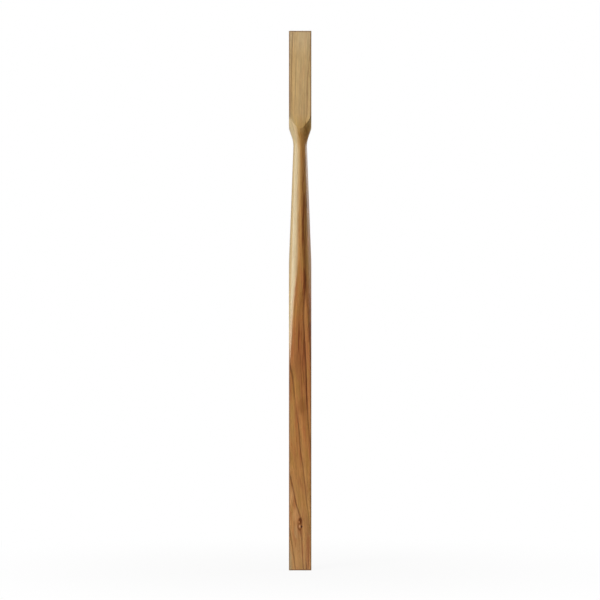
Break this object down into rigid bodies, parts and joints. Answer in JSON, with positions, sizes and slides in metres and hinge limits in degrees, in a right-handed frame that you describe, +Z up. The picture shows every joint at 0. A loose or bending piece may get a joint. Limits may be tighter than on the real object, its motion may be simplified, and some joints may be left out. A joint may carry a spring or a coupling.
{
  "type": "stair baluster",
  "caption": "One-piece hardwood stair baluster with square head and foot blocks joined by a conical shoulder, a slim neck and a long turned taper; fills the guard under a handrail.",
  "frame": {"origin": "centre of the square foot end, on the turning axis", "axes": "+Z up along the turning axis from foot to head; X and Y square to the flats of the blocks, with the side seen in the picture facing -Y"},
  "size_m": [0.0444, 0.0444, 1.0668],
  "materials": {
    "hardwood": "turned and sanded hardwood, bare, satin"
  },
  "bodies": {
    "root": {"baluster": "hardwood"}
  },
  "joints": []
}
